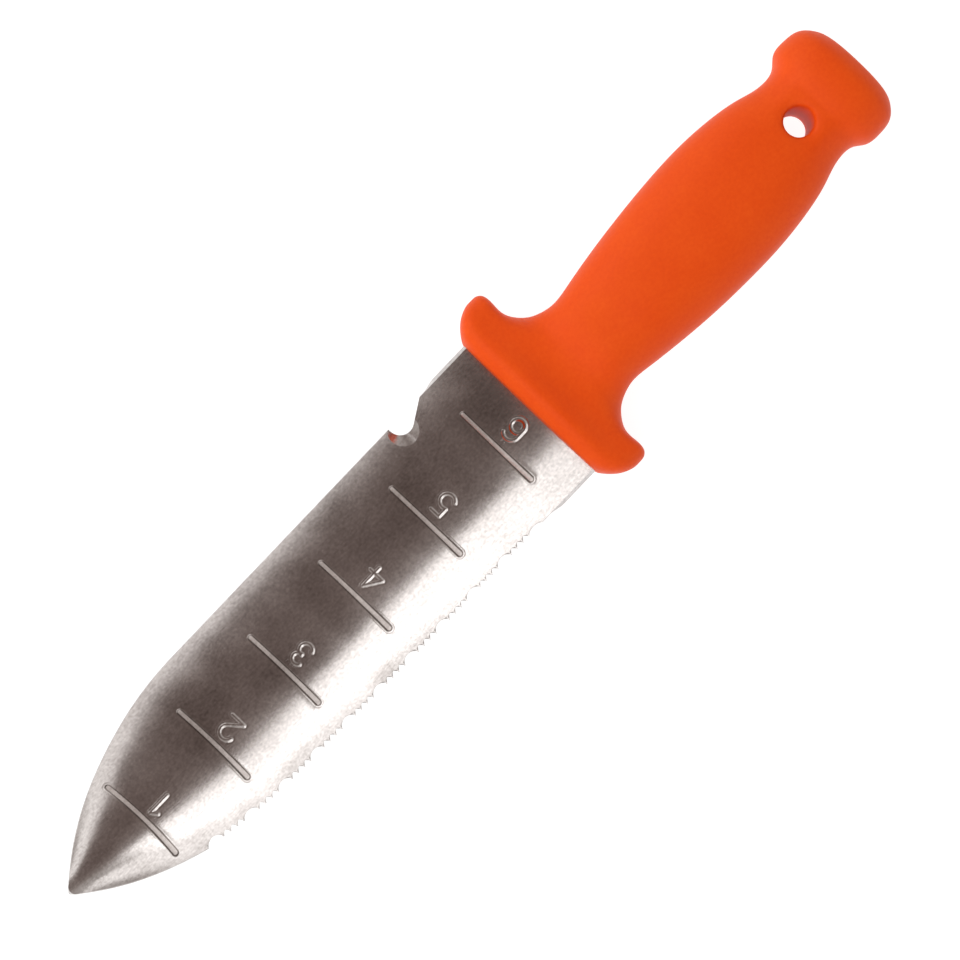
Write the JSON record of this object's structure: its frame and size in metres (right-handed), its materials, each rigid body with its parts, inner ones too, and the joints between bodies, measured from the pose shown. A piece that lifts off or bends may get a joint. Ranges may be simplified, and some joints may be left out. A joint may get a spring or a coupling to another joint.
{
  "type": "hand trowel",
  "caption": "Soil-knife hand trowel: pointed dished steel blade with inch marks, a serrated edge and a twine notch, in a moulded orange handle with a guard and a hanging hole.",
  "frame": {"origin": "under the middle of the tool, halfway along it and across it, on the level of its lowest point", "axes": "+X from the blade's tip to the pommel, +Y towards the edge with the twine notch, +Z towards the side that the blade's dish opens to"},
  "size_m": [0.2818, 0.058, 0.0253],
  "materials": {
    "blade_steel": "tumbled stainless steel, satin",
    "pin_steel": "drawn steel rod",
    "core_plastic": "black glass-filled nylon, as moulded",
    "grip_plastic": "orange polypropylene, fine moulded texture"
  },
  "bodies": {
    "root": {"blade": "blade_steel", "tang_pins": "pin_steel", "handle_core": "core_plastic", "handle_grip": "grip_plastic"}
  },
  "joints": []
}
